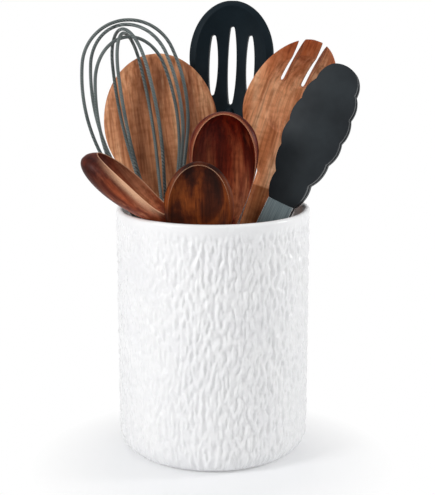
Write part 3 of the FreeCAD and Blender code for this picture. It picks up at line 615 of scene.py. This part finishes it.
def soft_noise(column, row, columns, seed):
    """Smooth noise from about -0.7 to 0.7 that repeats after a number of columns."""
    rows = int(row.max()) + RELIEF_SPARE_ROWS
    turns = np.random.default_rng(seed).random((columns, rows)) * FULL_TURN
    left = np.floor(column).astype(int)
    low = np.floor(row).astype(int)
    total = np.zeros(column.shape)
    for across in range(2):
        for rise in range(2):
            turn = turns[(left + across) % columns, low + rise]
            off_column = column - left - across
            off_row = row - low - rise
            weight = eased(1 - np.abs(off_column)) * eased(1 - np.abs(off_row))
            total += weight * (np.cos(turn) * off_column + np.sin(turn) * off_row)
    return total


def relief_share(around, up):
    """How deep the glaze dips, 0 to 1, in upright waves that wrap round the crock."""
    turn = around / FULL_TURN
    row = up / RELIEF_ROW
    slow = RELIEF_LEAN_COLUMNS / RELIEF_COLUMNS
    lean = soft_noise(turn * RELIEF_LEAN_COLUMNS, row * slow, RELIEF_LEAN_COLUMNS, RELIEF_SEED)
    column = turn * RELIEF_COLUMNS + RELIEF_LEAN_SHARE * lean * row.max() * slow
    coarse = soft_noise(column, row, RELIEF_COLUMNS, RELIEF_SEED + 1)
    fine = soft_noise(column * RELIEF_FINE_TIMES, row * RELIEF_FINE_TIMES,
                      RELIEF_COLUMNS * RELIEF_FINE_TIMES, RELIEF_SEED + 2)
    return np.clip(RELIEF_MIDDLE_SHARE + coarse + RELIEF_FINE_SHARE * fine, 0, 1)


def make_crock(material):
    """The turned crock again, its outside dipping in with the relief."""
    low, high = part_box("crock")
    height = high.z
    profile, outer = crock_profile((high.x - low.x) / 2, height)
    around, out = np.meshgrid(np.arange(CROCK_SEGMENTS) * FULL_TURN / CROCK_SEGMENTS, profile[:, 0])
    up = np.repeat(profile[:, 1:], CROCK_SEGMENTS, axis=1)
    fade = np.clip((height - RELIEF_LIP_CLEAR - up[outer]) / RELIEF_LIP_CLEAR, 0, 1)
    fade = fade * np.clip(up[outer] / RELIEF_FOOT_CLEAR, 0, 1)
    out[outer] -= RELIEF_DEPTH * relief_share(around[outer], up[outer]) * fade
    points = np.stack([out * np.cos(around), out * np.sin(around), up], axis=-1)
    crock = ring_piece("crock_glazed", points, material)
    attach(crock, "crock")
    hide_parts("crock")


# Slotted spoon
def make_socket(material):
    """The swelling of the slotted head over the end of its handle."""
    turn = np.arange(SOCKET_SEGMENTS) * FULL_TURN / SOCKET_SEGMENTS
    around, rise = np.meshgrid(turn, np.linspace(-1, 1, SOCKET_ROWS))
    out = SOCKET_RADIUS * np.sqrt(1 - rise ** 2)
    points = np.stack([out * np.cos(around), out * np.sin(around), SOCKET_HALF_LONG * rise], axis=-1)
    socket = ring_piece("slotted_socket", points, material)
    tilt = UP.rotation_difference(lift_axis("slotted_spoon")).to_matrix().to_4x4()
    socket.data.transform(Matrix.Translation(SOCKET_MIDDLE) @ tilt)
    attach(socket, "slotted_spoon")


# Tongs
def make_spring(material):
    """The leaf spring again, in steel, in place of the one it hides."""
    mesh = frame["nodes"]["tongs_spring"].data.copy()
    mesh.materials.clear()
    spring = new_piece("tongs_spring_bent", mesh, material)
    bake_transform(spring)
    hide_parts("tongs_spring")


# Stage
def seen_share(tree):
    """1 for what the camera sees, straight or by way of metal and glass, and 0 for light."""
    path = add(tree, "ShaderNodeLightPath").outputs
    seen = path["Is Camera Ray"]
    for way in ("Is Glossy Ray", "Is Transmission Ray"):
        seen = combine(tree, "ShaderNodeMath", "MAXIMUM", seen, path[way])
    return seen


def make_paper():
    """Pale matt paper that keeps the shadow by the crock and is plain white further off."""
    material, tree, shader = new_material("floor")
    shader.inputs["Base Color"].default_value = linear(248, 249, 251)
    shader.inputs["Roughness"].default_value = FLOOR_ROUGHNESS
    shader.inputs["Specular IOR Level"].default_value = 0.0
    away = combine(tree, "ShaderNodeVectorMath", "DISTANCE", own_place(tree), FLOOR_SHADE_MIDDLE)
    white = levels(tree, away, FLOOR_SHADE_START, FLOOR_SHADE_END, FLOOR_WHITE_SHARE, 1.0)
    glow = add(tree, "ShaderNodeEmission", Color=WHITE, Strength=1.0).outputs["Emission"]
    share = product(tree, seen_share(tree), white)
    mix_shaders(tree, share, shader.outputs["BSDF"], glow, "Material Output")
    return material


def make_floor(material):
    """The floor, a plain square under the crock."""
    mesh = bpy.data.meshes.new("floor")
    sides = ((-1, -1), (1, -1), (1, 1), (-1, 1))
    corners = [(across * FLOOR_REACH, along * FLOOR_REACH, 0) for across, along in sides]
    mesh.from_pydata(corners, [], [(0, 1, 2, 3)])
    floor = new_piece("floor", mesh, material)


def make_world():
    """A white room, dimmer as a light than it looks to the camera."""
    world = bpy.data.worlds.new("studio")
    scene.world = world
    world.use_nodes = True
    tree = world.node_tree
    room = tree.nodes["Background"]
    room.inputs["Color"].default_value = WHITE
    room.inputs["Strength"].default_value = ROOM_LIGHT
    white = add(tree, "ShaderNodeBackground", Color=WHITE, Strength=1.0).outputs["Background"]
    mix_shaders(tree, seen_share(tree), room.outputs["Background"], white, "World Output")


def make_lamp(name, place, size, power):
    """A square lamp turned to the object."""
    lamp = bpy.data.lights.new(name, "AREA")
    lamp.shape = "SQUARE"
    lamp.size = size
    lamp.energy = power
    holder = bpy.data.objects.new(name, lamp)
    holder.location = place
    holder.rotation_euler = (Vector(LAMP_AIM) - Vector(place)).to_track_quat("-Z", "Y").to_euler()
    scene.collection.objects.link(holder)


def make_camera():
    """The camera of the photo, looking down a little."""
    camera = bpy.data.cameras.new("camera")
    camera.sensor_width = CAMERA_SENSOR
    camera.lens = CAMERA_LENS
    holder = bpy.data.objects.new("camera", camera)
    holder.location = CAMERA_PLACE
    holder.rotation_euler = (math.radians(90 - CAMERA_PITCH), 0, 0)
    scene.collection.objects.link(holder)
    scene.camera = holder


# The whole scene
make_camera()
make_floor(make_paper())
make_world()
for lamp_name, (lamp_place, lamp_size, lamp_power) in LAMPS.items():
    make_lamp(lamp_name, lamp_place, lamp_size, lamp_power)

make_crock(make_glaze())
dress_turner()
dress_fork()
dress_large_spoon()
dress_small_spoon()
dress_side_spoon()
dress_handles()
nylon = make_soft("nylon", "slotted_spoon", linear(12, 23, 29), linear(18, 30, 37),
                  NYLON_ROUGHNESS, NYLON_SPECULAR)
dress(nylon, "slotted_head")
make_socket(nylon)
silicone = make_soft("silicone", "tongs", linear(22, 27, 31), linear(36, 42, 46),
                     SILICONE_ROUGHNESS, SILICONE_SPECULAR)
dress(silicone, "tongs_front_head", "tongs_back_head")
wires = [node for node in frame["nodes"] if node.startswith("whisk_wire")]
dress(make_coating(), "whisk_collar", *wires)
steel = make_steel()
dress(steel, "tongs_front_arm", "tongs_back_arm", "tongs_pin", "tongs_tab")
make_spring(steel)

scene.view_settings.view_transform = "Standard"
